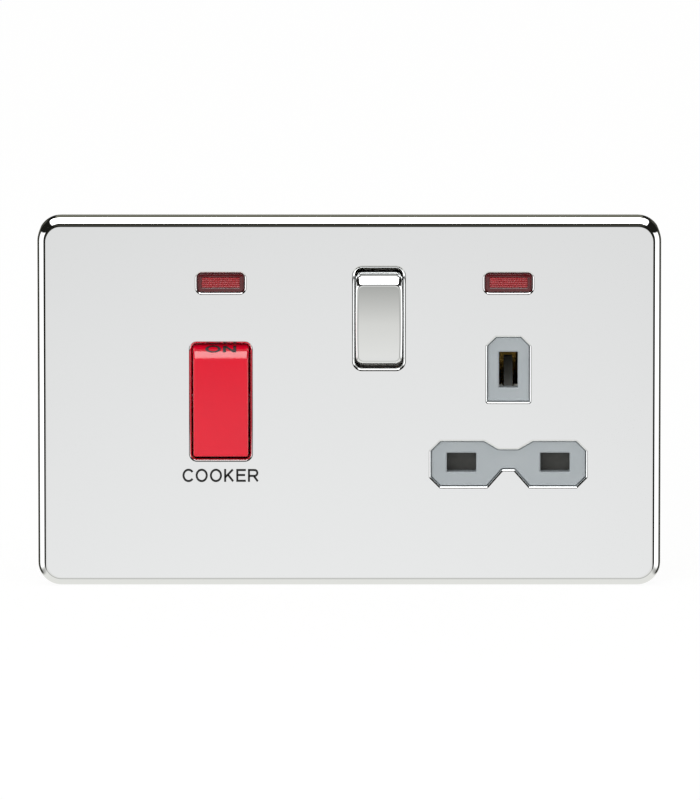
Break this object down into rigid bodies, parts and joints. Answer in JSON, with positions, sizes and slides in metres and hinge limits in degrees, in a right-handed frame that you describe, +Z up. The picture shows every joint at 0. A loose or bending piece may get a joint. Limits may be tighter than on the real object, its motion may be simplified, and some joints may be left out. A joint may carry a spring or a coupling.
{
  "type": "cooker control unit",
  "caption": "Two-gang wall plate in polished chrome with a red rocker switch, a switched three-pin socket and neon indicators, on a yoke with a rear terminal housing.",
  "frame": {"origin": "middle of the plate on the wall plane, midway between the fixing holes", "axes": "+X to the right and +Z up as it hangs on the wall, +Y into the wall, so the plate faces -Y"},
  "size_m": [0.148, 0.0431, 0.088],
  "materials": {
    "chrome_plate": "polished chrome plating",
    "chrome_rocker": "chrome plated moulding",
    "red_plastic": "glossy moulding",
    "grey_plastic": "fine satin moulding",
    "dark_plastic": "satin moulding",
    "white_plastic": "satin moulding",
    "zinc_steel": "zinc plated",
    "nylon": "natural moulding",
    "spring_steel": "drawn wire",
    "red_lens": "translucent ribbed moulding",
    "lamp_glass": "clear glass",
    "resistor_body": "lacquered",
    "contact_silver": "bright silver alloy",
    "brass": "pressed brass"
  },
  "bodies": {
    "unit": {"cooker_neon_lamp": "lamp_glass", "cooker_neon_lens": "red_lens", "cooker_neon_resistor": "resistor_body", "deck_screws": "zinc_steel", "earth_contact": "brass", "earth_strip": "brass", "earth_terminal": "brass", "feed_live_terminal": "brass", "feed_neutral_terminal": "brass", "fixed_contacts": "contact_silver", "front_plate": "chrome_plate", "housing_screws": "zinc_steel", "live_contact": "brass", "live_strip": "brass", "load_live_strip": "brass", "load_live_terminal": "brass", "load_neutral_strip": "brass", "load_neutral_terminal": "brass", "module_deck": "white_plastic", "mounting_yoke": "zinc_steel", "neutral_contact": "brass", "neutral_strip": "brass", "rear_housing": "white_plastic", "shutter_spring": "spring_steel", "socket_insert": "grey_plastic", "socket_live_strip": "brass", "socket_neon_lamp": "lamp_glass", "socket_neon_lens": "red_lens", "socket_neon_resistor": "resistor_body", "terminal_screws": "brass"},
    "cooker_rocker": {"cooker_rocker": "red_plastic", "cooker_plunger_spring": "spring_steel"},
    "cooker_plunger": {"cooker_plunger": "nylon"},
    "cooker_contacts": {"cooker_carrier": "nylon", "cooker_moving_contacts": "contact_silver", "cooker_live_blade": "brass", "cooker_neutral_blade": "brass"},
    "socket_rocker": {"socket_rocker": "chrome_rocker", "socket_plunger_spring": "spring_steel"},
    "socket_plunger": {"socket_plunger": "nylon"},
    "socket_contacts": {"socket_carrier": "nylon", "socket_moving_contacts": "contact_silver", "socket_blade": "brass"},
    "shutter": {"shutter": "dark_plastic"}
  },
  "joints": [
    {"name": "cooker_rock", "type": "hinge", "parent": "unit", "child": "cooker_rocker", "pos_m": [-0.0305, -0.002, 0.0003], "axis": [1, 0, 0], "range_deg": [-15, 0]},
    {"name": "cooker_contact_rock", "type": "hinge", "parent": "unit", "child": "cooker_contacts", "pos_m": [-0.0305, 0.011, 0.0003], "axis": [1, 0, 0], "range_deg": [0, 15]},
    {"name": "cooker_plunge", "type": "slide", "parent": "cooker_rocker", "child": "cooker_plunger", "axis": [0, -0.9914, -0.1305], "range_m": [0, 0.0006], "stiffness_N_per_m": 1500, "springref_m": -0.001},
    {"name": "socket_rock", "type": "hinge", "parent": "unit", "child": "socket_rocker", "pos_m": [0.00705, -0.002, 0.0202], "axis": [1, 0, 0], "range_deg": [-15, 0]},
    {"name": "socket_contact_rock", "type": "hinge", "parent": "unit", "child": "socket_contacts", "pos_m": [0.00705, 0.011, 0.0202], "axis": [1, 0, 0], "range_deg": [0, 15]},
    {"name": "socket_plunge", "type": "slide", "parent": "socket_rocker", "child": "socket_plunger", "axis": [0, -0.9914, -0.1305], "range_m": [0, 0.0006], "stiffness_N_per_m": 1500, "springref_m": -0.001},
    {"name": "shutter_slide", "type": "slide", "parent": "unit", "child": "shutter", "axis": [0, 0, -1], "range_m": [0, 0.0052], "stiffness_N_per_m": 300, "springref_m": -0.004, "deforming": ["shutter_spring"]}
  ],
  "couplings": [
    {"joint": "cooker_contact_rock", "follows": "cooker_rock", "ratio": -1},
    {"joint": "socket_contact_rock", "follows": "socket_rock", "ratio": -1}
  ]
}
